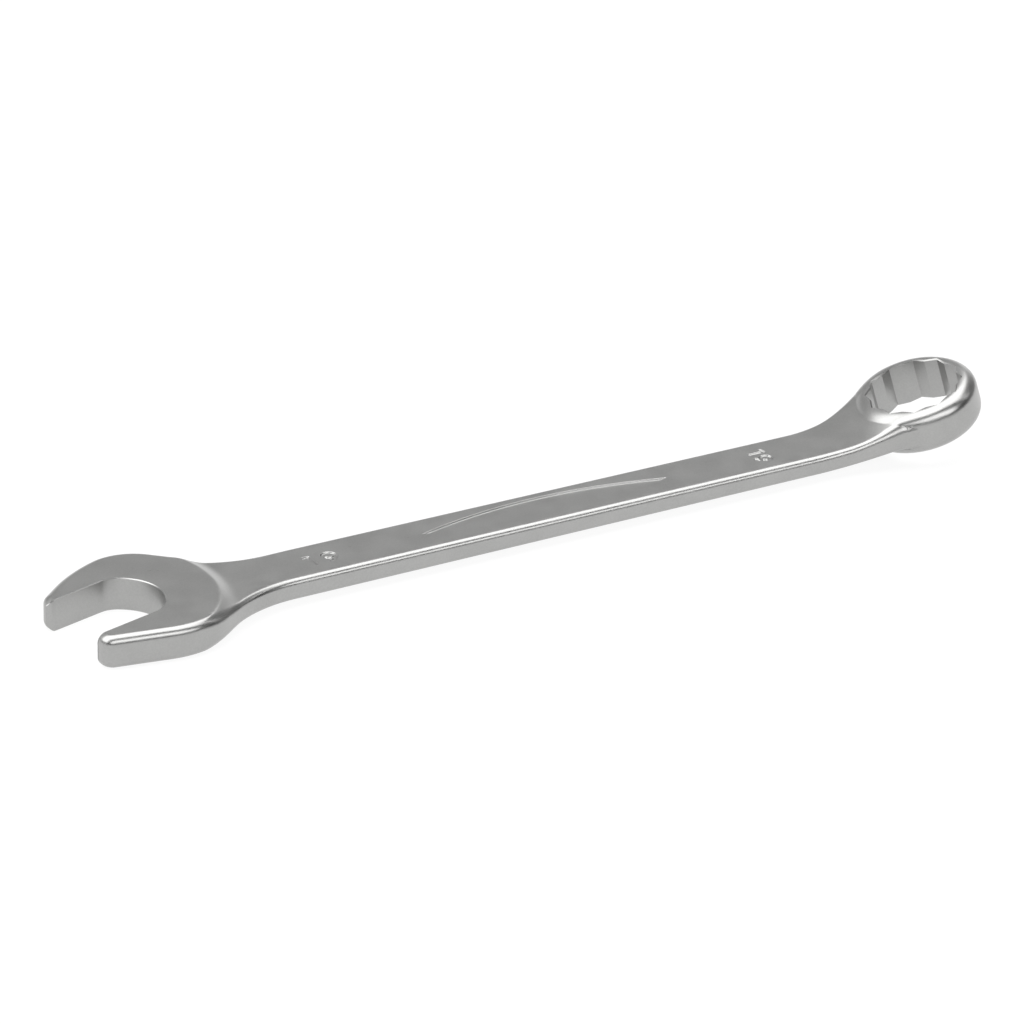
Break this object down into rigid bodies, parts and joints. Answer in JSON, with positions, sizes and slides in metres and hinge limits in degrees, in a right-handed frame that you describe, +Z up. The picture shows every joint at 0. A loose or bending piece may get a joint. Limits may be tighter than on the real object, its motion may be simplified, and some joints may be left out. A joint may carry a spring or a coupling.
{
  "type": "combination wrench",
  "caption": "Combination wrench for 19 mm hexagons: an angled open jaw at one end, a raised bi-hexagon ring at the other.",
  "frame": {"origin": "under the middle of the bounding box, in the plane of the open end's underside", "axes": "+X along the wrench from the open jaw to the ring, +Z up out of the face that carries the size, +Y across the wrench"},
  "size_m": [0.2262, 0.0414, 0.0172],
  "materials": {
    "chrome": "satin chrome plate on forged steel"
  },
  "bodies": {
    "root": {"wrench_body": "chrome"}
  },
  "joints": []
}
